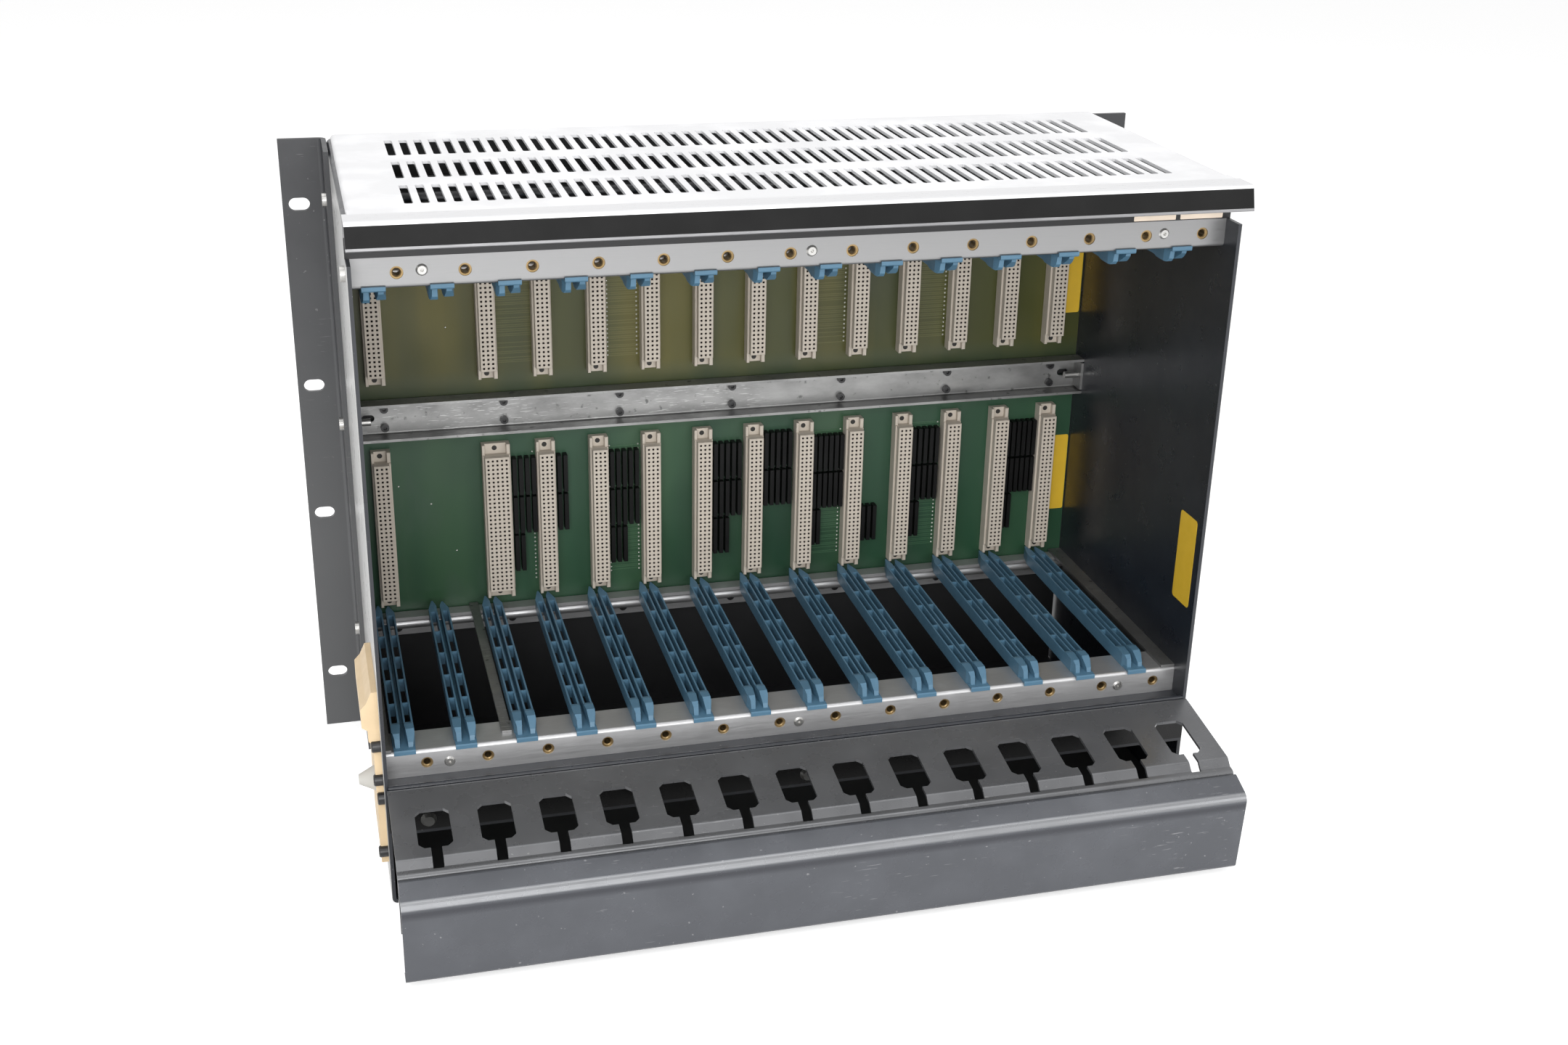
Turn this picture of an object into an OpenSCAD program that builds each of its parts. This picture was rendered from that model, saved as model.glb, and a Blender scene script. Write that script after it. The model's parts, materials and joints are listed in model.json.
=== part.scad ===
// 19-inch subrack card cage, 8 units high, for double-height plug-in boards.
// Millimetres. X runs across the rack, Y from the open front to the rear, Z up.
// The box of the whole cage is centred on X and Y and stands on Z = 0.

/* [Rack flanges] */
// Width over both rack flanges
rack_w = 482.6; // [476:0.1:486]
// Width of one rack flange beside the cage
flange_w = 24.8; // [22:0.1:27]
// Distance from the slot centres to the outer edge of a flange
slot_edge = 8.75; // [8:0.05:10]
// Height between the outermost slots
slot_outer_h = 279.4; // [260:0.1:290]
// Height between the two middle slots
slot_inner_h = 76.2; // [60:0.1:90]
// Length of a slot
slot_len = 11; // [9:0.1:12]
// Height of a slot
slot_h = 7; // [6:0.1:8]
// Sheet thickness of the rack flanges
flange_t = 2.5; // [2:0.1:3]
// Depth of the flange leg that lies on the side plate
flange_leg = 38; // [30:1:45]
// Inner bend radius of the rack flanges
flange_r = 2; // [1:0.5:3]

/* [Side plates] */
// Height of the side plates
side_h = 349; // [345:1:356]
// Sheet thickness of the side plates
side_t = 2; // [1.5:0.1:2.5]
// Reach of the side plates ahead of the rail face
side_lead = 13; // [12:0.5:16]
// Depth from the rail face to the front of the rack flanges
flange_y = 182; // [178:0.5:190]
// Width of the folds along the top and bottom of a side plate
side_fold = 12; // [8:0.5:16]
// Inner radius of the folds
side_r = 1; // [0.5:0.1:2]

/* [Rails] */
// Height of the lower row of card screws above the feet
rail_z = 72; // [70:0.5:76]
// Height from the upper row of card screws to the top of the side plates
rail_top_gap = 24.7; // [22:0.1:28]
// Height of a rail face
rail_h = 14.4; // [13.6:0.1:16]
// Depth of a front rail
rail_d = 20.6; // [19:0.1:24]
// Depth of a rear rail
rear_rail_d = 10; // [9:0.1:11]
// Wall thickness of the rails
rail_t = 2; // [1.6:0.1:2.4]
// Diameter of the insert holes in the front rails
insert_d = 6; // [5.4:0.1:6.4]
// Thread bore of the inserts
insert_bore = 3.4; // [2.5:0.1:4]
// Length of an insert
insert_l = 6; // [4:0.1:6.4]
// Outer diameter of the screw channel inside a rail
channel_d = 6; // [5.4:0.1:6.2]

/* [Card slots] */
// Number of card slots
slots = 14; // [13:1:14]
// Space between a side plate and the nearest card slot
slot_margin = 1.14; // [0.5:0.01:4]
// Sideways shift of the guides from the slot centres
guide_shift = -6.7; // [-7.5:0.1:-6]
// Sideways shift of the card screws from the slot centres
screw_shift = 3.9; // [3:0.1:5]
// Sideways shift of the connectors from the slot centres
conn_shift = -2.3; // [-3:0.1:-1.8]

/* [Card guides] */
// Width of a card guide
guide_w = 11.4; // [10.4:0.1:12]
// Height of a card guide
guide_h = 7; // [6:0.1:7.6]
// Width of the card groove
groove_w = 2; // [1.8:0.1:2.4]
// Thickness of the floor under the groove
guide_floor = 1.2; // [0.8:0.1:1.6]
// Thickness of the guide walls and cross ribs
guide_rib = 0.9; // [0.7:0.1:1.1]
// Length of the first window, behind the front block
first_window = 20.5; // [16:0.5:24]
// Number of windows along a guide
guide_windows = 5; // [3:1:5]
// Length of the solid front block
block_l = 17; // [15:0.5:18]
// Length of the pointed rear prongs
prong_l = 14; // [8:0.5:15]

/* [Backplane] */
// Depth from the backplane boards to the front of the rack flanges
board_setback = 18.5; // [14:0.1:20]
// Thickness of the backplane boards
board_t = 2.4; // [1.6:0.1:3.2]
// Reach of a board past the middle of its rail
board_lap = 4.9; // [4:0.1:6]
// Gap between the two boards
board_gap = 4.65; // [2:0.05:6]
// Distance from a screw row to the edge of its board
board_screw_edge = 3.1; // [2.5:0.1:4]
// Number of screw columns
screw_cols = 7; // [3:1:7]
// Distance from the outer screw columns to the side plates
screw_margin = 17.7; // [10:0.1:24]
// Height of the middle channel
mid_h = 21.5; // [20:0.1:24]
// Depth of the middle channel
mid_d = 12; // [11:0.1:14]
// Sheet thickness of the middle channel
mid_t = 1.5; // [1:0.1:2]

/* [Connectors] */
// Height of a board above and below its connectors
conn_margin = 17.15; // [17:0.05:19]
// Lift of the connectors above the middle of their board
conn_lift = 0.6; // [0:0.1:1]
// Distance from an ear hole to the end of the connector
ear_edge = 2.2; // [2:0.1:2.6]
// Depth of a connector from its face to the board
conn_d = 11.5; // [10.5:0.1:12.5]
// Depth of the connector foot on the board
foot_d = 5.5; // [4:0.1:6]
// Contact spacing
contact_pitch = 2.54; // [2.5:0.01:2.54]
// Rows of contacts in a normal connector
conn_rows = 3; // [2:1:3]
// Rows of contacts in the wide connector
wide_rows = 5; // [4:1:5]

/* [Cover and fascia] */
// Height of the cover over the side plates
cover_rise = 3.7; // [3:0.1:5]
// Sheet thickness of the cover
cover_t = 1.5; // [1:0.1:1.8]
// Gap between the cover edge and the outside of the cage
cover_gap = 2.2; // [2:0.1:4]
// Distance from the end of a vent row to the edge of the cover
vent_margin = 25.8; // [20:0.1:40]
// Spacing of the vent slots
vent_pitch = 7.45; // [7:0.05:7.6]
// Width of a vent slot
vent_w = 4; // [3:0.1:4.5]
// Length of a vent slot
vent_l = 37; // [30:0.5:40]
// Distance from the front edge of the cover to the first vent row
vent_front = 16.4; // [12:0.1:20]
// Distance from the last vent row to the rear edge of the cover
vent_back = 20; // [16:0.1:24]
// Height of the fascia
fascia_h = 12.4; // [11.5:0.1:14]
// Reach of the fascia ahead of the rail face
fascia_reach = 23; // [20:0.1:26]
// Backward lean of the fascia over its height
fascia_lean = 3.6; // [1:0.1:5]
// Height of the lip under the black strip
lip_below = 1.5; // [1:0.1:2]
// Height of the lip above the black strip
lip_above = 1.7; // [1.2:0.1:2.4]

/* [Cable tray and trim] */
// Reach of the trim ahead of the rail face
trim_reach = 90.3; // [86:0.1:96]
// Height of the card screws above the rear edge of the tray
tray_drop = 4.4; // [4:0.1:5.5]
// Slope of the tray in degrees
tray_slope = 9.2; // [8:0.1:10]
// Sheet thickness of the tray
tray_t = 1.5; // [1:0.1:2]
// Space between the tray and the outside of a side plate
tray_gap = 1.2; // [0.5:0.1:3]
// Length of the tray's flat top
tray_l = 52.5; // [50:0.5:54]
// Distance from the outer keyholes to the ends of the tray
key_margin = 19.65; // [16:0.05:24]
// Width of a keyhole
key_w = 16.5; // [14:0.1:18]
// Length of a keyhole
key_l = 27; // [24:0.1:28]
// Width of the neck of a keyhole
neck_w = 5.3; // [4.6:0.1:6]
// Sheet thickness of the trim
trim_t = 1.8; // [1.4:0.1:2.2]
// Radius of the rim along the front of the trim
rim_r = 3; // [2:0.5:4]
// Gap between the trim and the surface under the feet
trim_gap = 4.3; // [2:0.1:8]

/* [Resistor networks] */
// Width of a network
net_w = 2.3; // [2:0.1:2.6]
// Height of a network
net_l = 22.2; // [18:0.1:23]
// Depth of a network from the board
net_d = 5.5; // [4:0.1:7]
// Spacing of the networks in a bank
net_pitch = 3.6; // [3.2:0.1:3.8]

/* [Terminal strip] */
// Height of the strip's lower end above the feet
term_z = 20; // [16:0.5:30]
// Height of the strip
term_h = 97; // [80:0.5:110]
// Depth of the strip
term_d = 55; // [40:0.5:60]
// Thickness of the strip
term_t = 3.5; // [3:0.1:4]

/* [Hidden] */

$fn = 32;
eps = 0.01;
cut = 1;                                   // overrun of a cutting tool past a face

outer_half = rack_w / 2 - flange_w;        // outside face of a side plate
inner_half = outer_half - side_t;          // inside face of a side plate
slot_pitch = 2 * (inner_half - slot_margin) / slots;
rail_span = side_h - rail_top_gap - rail_z; // between the two rows of card screws
mid_z = rail_z + rail_span / 2;            // height of the middle of the card bay
face_drop = rail_h / 2;                    // card screw row below the rail flange surface
deck_z = rail_z + face_drop;               // surface on which the lower guides sit
upper_edge_z = 2 * mid_z - deck_z + rail_h; // top edge of the upper rails
board_y = flange_y - board_setback;        // front of the backplane boards
board_h = rail_span / 2 + board_lap - board_gap / 2;
board_pitch = board_h + board_gap;
board_screw_h = board_h - 2 * board_screw_edge;
y_back = flange_y + flange_t;
y_shift = (trim_reach - y_back) / 2;       // centres the whole cage on Y
side_back = flange_y - 2;                  // rear edge of the side plates
run_gap = 0.3;                             // clearance between neighbouring pieces
fix_d = 4;                                 // screws through the side plates
fix_hole = fix_d + 0.4;
fix_y_front = rail_d / 2;
fix_y_rear = board_y - 7;
channel_drop = rail_t + channel_d / 2;     // screw channel axis under the rail flange

function slot_x(i) = (i - (slots - 1) / 2) * slot_pitch;
function board_z(side) = mid_z + side * board_pitch / 2;
screw_rows = [for (side = [-1, 1], row = [-1, 1]) board_z(side) + row * board_screw_h / 2];
screw_xs = [for (k = [0 : screw_cols - 1])
    (inner_half - screw_margin) * (2 * k / (screw_cols - 1) - 1)];

// Everything is drawn with Y = 0 on the front face of the rails, then set in the common frame.
module cage_frame() translate([0, y_shift, 0]) children();

// Mirrors a lower piece to its place at the top of the card bay.
module upside() translate([0, 0, 2 * mid_z]) mirror([0, 0, 1]) children();

// A prism along X from a profile drawn in Y and Z.
module along_x(half) {
    translate([-half, 0, 0]) rotate([90, 0, 90]) linear_extrude(2 * half) children();
}

// A prism along Y from a profile drawn in X and Z.
module along_y(from, to) {
    translate([0, to, 0]) rotate([90, 0, 0]) linear_extrude(to - from) children();
}

// Bent sheet metal. A path has the corners of one face as [across, up, inner bend radius],
// and the sheet lies to the right of it. A bend is an arc of bend_steps flats.
bend_steps = 5;
function heading(a, b) = atan2(b[1] - a[1], b[0] - a[0]);
function left_of(h) = [-sin(h), cos(h)];
function turn_between(h1, h2) = (h2 - h1 + 540) % 360 - 180;

function bend(before, corner, after, t, depth) =
    let (h = heading(before, corner),
         turn = turn_between(h, heading(corner, after)),
         side = sign(turn),
         face_r = side > 0 ? corner[2] : corner[2] + t,
         start = [corner[0], corner[1]] - face_r * tan(abs(turn) / 2) * [cos(h), sin(h)],
         centre = start + side * face_r * left_of(h))
    [for (k = [0 : bend_steps])
        centre - side * (face_r + side * depth) * left_of(h + turn * k / bend_steps)];

function sheet_end(corner, h, depth) = [corner[0], corner[1]] - depth * left_of(h);

function sheet_face(path, t, depth) =
    let (last = len(path) - 1)
    concat([sheet_end(path[0], heading(path[0], path[1]), depth)],
           [for (i = [1 : last - 1]) each bend(path[i - 1], path[i], path[i + 1], t, depth)],
           [sheet_end(path[last], heading(path[last - 1], path[last]), depth)]);

function backwards(points) = [for (i = [len(points) - 1 : -1 : 0]) points[i]];

module bent_sheet(path, t) {
    polygon(concat(sheet_face(path, t, 0), backwards(sheet_face(path, t, t))));
}

// A square with its corners cut, for punched openings.
module punched(w, l, c) {
    polygon([[c, 0], [w - c, 0], [w, c], [w, l - c], [w - c, l], [c, l], [0, l - c], [0, c]]);
}

// ---------- side plates and rack flanges ----------

// Where screws pass through the left side plate: [y, z, seat] with seat 1 on the rack flange leg.
side_fixings = [
    [fix_y_front, deck_z - channel_drop, 0],
    [fix_y_front, 2 * mid_z - deck_z + channel_drop, 0],
    [fix_y_rear, deck_z - channel_drop, 1],
    [fix_y_rear, 2 * mid_z - deck_z + channel_drop, 1],
    [fix_y_rear, mid_z, 1]];

notch_d = 3;                               // depth of the corner left open for the fascia
relief_d = 2;                              // front of the lower fold behind the front edge

module side_plate() {
    difference() {
        along_y(-side_lead, side_back) bent_sheet([
            [-outer_half + side_fold, 0], [-outer_half, 0, side_r],
            [-outer_half, side_h, side_r], [-outer_half + side_fold, side_h]], side_t);
        translate([-outer_half - cut, -side_lead - cut, upper_edge_z])
            cube([side_fold + 2 * cut, side_lead + notch_d + cut, side_h]);
        translate([-inner_half + side_r, -side_lead - cut, -cut])
            cube([side_fold, relief_d + cut, side_t + 2 * cut]);
        for (f = side_fixings)
            translate([-outer_half - cut, f[0], f[1]])
                rotate([0, 90, 0]) cylinder(d = fix_hole, h = side_t + 2 * cut);
    }
}

module side_plate_left() color([0.2, 0.2, 0.22]) cage_frame() side_plate();
module side_plate_right() color([0.2, 0.2, 0.22]) cage_frame() mirror([1, 0, 0]) side_plate();

// Plan of an L-shaped angle: one leg along the side plate, one leg out to the rack posts.
module flange_plan() {
    leg_x = -outer_half - flange_t;
    out_r = flange_r + flange_t;
    difference() {
        union() {
            translate([leg_x, y_back - flange_leg]) square([flange_t, flange_leg - out_r]);
            translate([-rack_w / 2, flange_y]) square([rack_w / 2 - outer_half - out_r, flange_t]);
            intersection() {
                translate([-outer_half - out_r, y_back - out_r]) circle(r = out_r, $fn = 64);
                translate([-outer_half - out_r, y_back - out_r]) square(out_r);
            }
        }
        translate([-outer_half - out_r, y_back - out_r]) circle(r = flange_r, $fn = 64);
    }
}

// A hole with round ends through a wall in X and Z, from its left end.
module oblong(l, h, depth) {
    for (x = [h / 2, l - h / 2])
        translate([x, 0, 0]) rotate([-90, 0, 0]) cylinder(d = h, h = depth);
    translate([h / 2, 0, -h / 2]) cube([l - h, depth, h]);
}

module rack_flange() {
    difference() {
        linear_extrude(side_h) flange_plan();
        for (dz = [-slot_outer_h, -slot_inner_h, slot_inner_h, slot_outer_h])
            translate([-rack_w / 2 + slot_edge - slot_len / 2, flange_y - cut, side_h / 2 + dz / 2])
                oblong(slot_len, slot_h, flange_t + 2 * cut);
        for (f = side_fixings)
            if (f[2] == 1)
                translate([-outer_half - flange_t - cut, f[0], f[1]])
                    rotate([0, 90, 0]) cylinder(d = fix_hole, h = flange_t + 2 * cut);
    }
}

module rack_flange_left() color([0.3, 0.31, 0.33]) cage_frame() rack_flange();
module rack_flange_right() color([0.3, 0.31, 0.33]) cage_frame() mirror([1, 0, 0]) rack_flange();

fix_head_d = 7.5;

module side_screw(seat_x, into) {
    head_h = 2.2;
    rotate([0, 90, 0]) {
        translate([0, 0, -seat_x - head_h]) cylinder(d = fix_head_d, h = head_h);
        translate([0, 0, -seat_x - eps]) cylinder(d = fix_d, h = seat_x + eps - into);
    }
}

module side_screws() {
    shank_end = inner_half - 10;
    color([0.75, 0.75, 0.76]) cage_frame() for (side = [0, 1]) mirror([side, 0, 0]) for (f = side_fixings)
        translate([0, f[0], f[1]]) side_screw(outer_half + f[2] * flange_t, shank_end);
}

// ---------- rails ----------

// Section of a rail: face, flange and a round screw channel; [0, 0] is the outer corner.
module rail_section(depth, channel_y) {
    r = 1.8;
    difference() {
        union() {
            translate([0, -rail_h]) square([rail_t, rail_h - r]);
            translate([r, -rail_t]) square([depth - r, rail_t]);
            translate([r, -r]) circle(r = r, $fn = 48);
            translate([r / 2, -r - rail_t + r / 2]) square(rail_t - r / 2 + r / 2);
            translate([channel_y, -channel_drop]) circle(d = channel_d, $fn = 48);
            translate([channel_y - channel_d / 4, -channel_drop]) square([channel_d / 2, channel_drop - eps]);
        }
        translate([channel_y, -channel_drop]) circle(d = fix_d, $fn = 48);
    }
}

module rail_holes() {
    for (i = [0 : slots - 1])
        translate([slot_x(i) + screw_shift, -cut, -face_drop])
            rotate([-90, 0, 0]) cylinder(d = insert_d, h = rail_t + 2 * cut);
    for (x = rivet_xs)
        translate([x, -cut, -face_drop - rivet_drop])
            rotate([-90, 0, 0]) cylinder(d = rivet_d, h = rail_t + 2 * cut);
}

rivet_margin = 32.5;                       // from the outer rivets to the side plates
rivet_xs = [for (k = [-1 : 1]) k * (inner_half - rivet_margin) - 1];
rivet_drop = 0.8;
rivet_d = 3;

module front_rail() {
    difference() {
        along_x(inner_half) rail_section(rail_d, fix_y_front);
        rail_holes();
    }
}

module front_rail_bottom() color("silver") cage_frame() translate([0, 0, deck_z]) front_rail();
module front_rail_top() color("silver") cage_frame() upside() translate([0, 0, deck_z]) front_rail();

insert_sink = 0.6;                         // insert behind the rail face
insert_mouth = 0.5;                        // depth of the chamfer round the thread bore

module insert() {
    difference() {
        rotate([-90, 0, 0]) cylinder(d = insert_d, h = insert_l);
        translate([0, -cut, 0]) rotate([-90, 0, 0]) cylinder(d = insert_bore, h = insert_l + 2 * cut);
        translate([0, -eps, 0]) rotate([-90, 0, 0])
            cylinder(d1 = insert_bore + 2 * insert_mouth, d2 = insert_bore, h = insert_mouth);
    }
}

module insert_row() for (i = [0 : slots - 1])
    translate([slot_x(i) + screw_shift, insert_sink, rail_z]) insert();

module rail_inserts() color([0.72, 0.6, 0.36]) cage_frame() {
    insert_row();
    upside() insert_row();
}

module rivet() {
    head_d = 5.6;
    head_h = 0.9;
    difference() {
        union() {
            translate([0, -head_h, 0])
                rotate([-90, 0, 0]) cylinder(d1 = head_d - 1.6, d2 = head_d, h = head_h);
            rotate([-90, 0, 0]) cylinder(d = rivet_d, h = rail_t + 1.5);
        }
        translate([0, -head_h - cut, 0]) rotate([-90, 0, 0]) cylinder(d = 1.6, h = 1.6 + cut);
    }
}

module rivet_row() for (x = rivet_xs) translate([x, 0, rail_z - rivet_drop]) rivet();

module rail_rivets() color("gainsboro") cage_frame() {
    rivet_row();
    upside() rivet_row();
}

module rear_rail() {
    difference() {
        translate([0, board_y, 0]) mirror([0, 1, 0])
            along_x(inner_half) rail_section(rear_rail_d, board_y - fix_y_rear);
        for (x = screw_xs)
            translate([x, board_y - rail_t - cut, screw_rows[0] - deck_z])
                rotate([-90, 0, 0]) cylinder(d = board_screw_d, h = rail_t + 2 * cut);
    }
}

module rear_rail_bottom() color([0.55, 0.55, 0.56]) cage_frame() translate([0, 0, deck_z]) rear_rail();
module rear_rail_top() color([0.55, 0.55, 0.56]) cage_frame() upside() translate([0, 0, deck_z]) rear_rail();

// ---------- middle channel, boards and their screws ----------

board_screw_d = 2.5;
mid_y = board_y - mid_d;

mid_r = 0.8;                               // inner bend radius of the middle channel
mid_slot_l = 7;                            // oblong hole near each end of the channel
mid_slot_h = 4;

module mid_channel() {
    tab_h = mid_h - 2 * mid_t - 2;
    low = mid_z - mid_h / 2;
    color([0.62, 0.62, 0.63]) cage_frame() difference() {
        union() {
            along_x(inner_half) bent_sheet([
                [mid_y, low + mid_h], [board_y, low + mid_h, mid_r],
                [board_y, low, mid_r], [mid_y, low]], mid_t);
            for (x = [-inner_half, inner_half - mid_t])
                translate([x, mid_y, mid_z - tab_h / 2]) cube([mid_t, mid_d, tab_h]);
        }
        for (x = screw_xs, z = [screw_rows[1], screw_rows[2]])
            translate([x, board_y - mid_t - cut, z])
                rotate([-90, 0, 0]) cylinder(d = board_screw_d, h = mid_t + 2 * cut);
        for (s = [-1, 1]) {
            translate([s * (inner_half - mid_t / 2), fix_y_rear, mid_z])
                rotate([0, 90, 0]) cylinder(d = fix_d, h = mid_t + 2 * cut, center = true);
            translate([s * (inner_half - screw_margin / 2) - mid_slot_l / 2, board_y - mid_t - cut, mid_z])
                oblong(mid_slot_l, mid_slot_h, mid_t + 2 * cut);
        }
    }
}

module board(side) {
    difference() {
        translate([-inner_half + run_gap, board_y, board_z(side) - board_h / 2])
            cube([2 * (inner_half - run_gap), board_t, board_h]);
        for (x = screw_xs, row = [-1, 1])
            translate([x, board_y - cut, board_z(side) + row * board_screw_h / 2])
                rotate([-90, 0, 0]) cylinder(d = board_screw_d, h = board_t + 2 * cut);
    }
}

module backplane_upper() color([0.29, 0.3, 0.16]) cage_frame() board(1);
module backplane_lower() color([0.15, 0.27, 0.18]) cage_frame() board(-1);

module cap_screw(grip) {
    head_d = 4.5;
    head_l = 2.5;
    difference() {
        union() {
            translate([0, -head_l, 0]) rotate([-90, 0, 0]) cylinder(d = head_d, h = head_l);
            rotate([-90, 0, 0]) cylinder(d = board_screw_d, h = grip + 1.5);
        }
        translate([0, -head_l - cut, 0]) rotate([-90, 0, 0]) cylinder(d = 2.3, h = 1.2 + cut, $fn = 6);
    }
}

module backplane_screws() color([0.1, 0.1, 0.1]) cage_frame() {
    for (x = screw_xs, z = [screw_rows[1], screw_rows[2]])
        translate([x, board_y - mid_t, z]) cap_screw(mid_t + board_t);
    for (x = screw_xs, z = [screw_rows[0], screw_rows[3]])
        translate([x, board_y - rail_t, z]) cap_screw(rail_t + board_t);
}

// ---------- connectors and resistor networks ----------

block_end = 1.9;                           // from the last contact to the end of the contact block
block_ear = 5.93;                          // least height of an ear beyond the contact block
conn_h = board_h - 2 * conn_margin;
conn_hole_h = conn_h - 2 * ear_edge;
contacts = floor((conn_h - 2 * block_ear - 2 * block_end) / contact_pitch + eps) + 1;
foot_side = 3;                             // width of a connector foot beyond its contact rows
ear_hole_d = 2.8;
ear_step = 2;                              // ears behind the front of the foot
ridge_w = 1.5;                             // ridges along both sides of an ear
function foot_w(rows) = rows * contact_pitch + foot_side;

module connector(rows) {
    block_w = rows * contact_pitch + 1;
    foot_w = foot_w(rows);
    block_h = (contacts - 1) * contact_pitch + 2 * block_end;
    foot_y = conn_d - foot_d;
    difference() {
        union() {
            translate([-block_w / 2, 0, -block_h / 2]) cube([block_w, conn_d, block_h]);
            translate([-foot_w / 2, foot_y + ear_step, -conn_h / 2])
                cube([foot_w, foot_d - ear_step, conn_h]);
            translate([-foot_w / 2, foot_y, -block_h / 2]) cube([foot_w, foot_d, block_h]);
            for (s = [0, 1], x = [-foot_w / 2, foot_w / 2 - ridge_w])
                mirror([0, 0, s]) translate([x, foot_y - 1, block_h / 2 - 2 * ridge_w])
                    cube([ridge_w, foot_d + 1, (conn_h - block_h) / 2 + 2 * ridge_w]);
        }
        for (s = [-1, 1])
            translate([0, -cut, s * conn_hole_h / 2])
                rotate([-90, 0, 0]) cylinder(d = ear_hole_d, h = conn_d + 2 * cut);
    }
}

// Slots with a connector: slot 2 is empty, slot 3 holds the wide connector in the lower row.
module connector_set(z, which) {
    for (i = which)
        translate([slot_x(i) + conn_shift, board_y - conn_d, z + conn_lift]) connector(conn_rows);
}

upper_slots = concat([0], [for (i = [2 : slots - 1]) i]);
lower_slots = concat([0], [for (i = [3 : slots - 1]) i]);
wide_slot = 2;

module connectors_upper() color([0.86, 0.83, 0.74]) cage_frame() connector_set(board_z(1), upper_slots);
module connectors_lower() color([0.86, 0.83, 0.74]) cage_frame() connector_set(board_z(-1), lower_slots);

module connector_wide() color([0.86, 0.83, 0.74]) cage_frame()
    translate([slot_x(wide_slot) + conn_shift + contact_pitch, board_y - conn_d, board_z(-1) + conn_lift])
        connector(wide_rows);

net_row_pitch = net_l + 1.4;
net_clear = 0.5;                           // least space between a bank and a connector foot
net_inset = 1.3;                           // usual space between a bank and the foot on its left
net_drop = 3.2;                            // first row below the top of the contact blocks
// Banks to the right of these slots: [slot, lift, networks in the upper, middle and lower row]
net_banks = [[2, 0, 4, 4, 2], [3, 0, 2, 2, 0], [4, 0, 5, 5, 3], [6, 0, 5, 5, 3], [7, 4.5, 5, 5, 0],
             [8, 0, 6, 6, 2], [9, 0, 0, 0, 3], [10, 0, 5, 5, 2], [12, 0, 6, 6, 2]];

// Networks in one bank stand closer where the space between two connectors asks for it.
module network_bank(counts, space) {
    most = max(counts);
    room = space - 2 * net_clear - net_w;
    pitch = most > 1 ? min(net_pitch, room / (most - 1)) : net_pitch;
    first = min(net_inset, net_clear + room - pitch * (most - 1));
    for (row = [0 : len(counts) - 1], k = [0 : 1 : counts[row] - 1])
        translate([first + k * pitch, 0, -row * net_row_pitch - net_l]) cube([net_w, net_d, net_l]);
}

module resistor_networks() color([0.09, 0.09, 0.1]) cage_frame() for (bank = net_banks) {
    wide = bank[0] == wide_slot;
    shift = wide ? contact_pitch : 0;
    half_foot = foot_w(wide ? wide_rows : conn_rows) / 2;
    block_top = (contacts - 1) * contact_pitch / 2 + block_end;
    translate([slot_x(bank[0]) + conn_shift + shift + half_foot, board_y - net_d,
               board_z(-1) + block_top - net_drop + bank[1]])
        network_bank([bank[2], bank[3], bank[4]], slot_pitch - shift - half_foot - foot_w(conn_rows) / 2);
}

// ---------- card guides ----------

guide_half = guide_w / 2;
groove_half = groove_w / 2;
guide_end = board_y - 5.5;                 // tip of the longer prong, before the backplane
ladder_a = block_l + 1;                    // front of the first window
ladder_b = guide_end - prong_l;            // end of the last window
window_pitch = (ladder_b - ladder_a - first_window) / (guide_windows - 1);
shoulder_h = guide_h + 0.8;                // top of the front block

// A window is open from top to bottom, between the groove wall, the outer wall and two cross ribs.
module guide_window(k) {
    near = k == 0 ? ladder_a : ladder_a + first_window + (k - 1) * window_pitch + guide_rib / 2;
    far = ladder_a + first_window + k * window_pitch - guide_rib / 2;
    translate([groove_half + guide_rib, near, -cut])
        cube([guide_half - groove_half - 2 * guide_rib, far - near, guide_h + 2 * cut]);
}

// One of the two pointed prongs at the rear, on the right side of the groove.
module guide_prong(tip_y) {
    tip = groove_half + 1.4;
    linear_extrude(guide_h) polygon([
        [groove_half, ladder_b - eps], [guide_half, ladder_b - eps], [guide_half, ladder_b + 3],
        [tip + 0.8, tip_y], [tip, tip_y], [groove_half, ladder_b + prong_l / 2]]);
}

// The front foot is flat, with a lip that hooks over the rail face.
module guide_foot() {
    lip_t = 1.2;
    along_x(guide_half - 0.35) polygon([
        [-lip_t, -lip_t], [0, -lip_t], [0, 0], [ladder_a + eps, 0], [ladder_a + eps, guide_floor],
        [-lip_t / 2, guide_floor], [-lip_t, guide_floor / 2]]);
}

// One cheek of the front block, on the right side. Between the cheeks a funnel leads into the groove.
// The nose rises to nose_h, and the top is reached at full_y.
module guide_cheek(nose_h, full_y) {
    funnel_half = 2.1;
    nose_half = 4.4;
    nose_y = 2.4;
    intersection() {
        along_x(guide_half) polygon([
            [nose_y, 0], [nose_y, guide_floor], [nose_y + 0.9, nose_h], [full_y, shoulder_h],
            [block_l - 2, shoulder_h], [ladder_a + eps, guide_h], [ladder_a + eps, 0]]);
        linear_extrude(2 * guide_h) polygon([
            [funnel_half, nose_y], [nose_half, nose_y], [guide_half, nose_y + 5],
            [guide_half, ladder_a + eps], [groove_half, ladder_a + eps], [groove_half, block_l - 3]]);
    }
}

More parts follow.
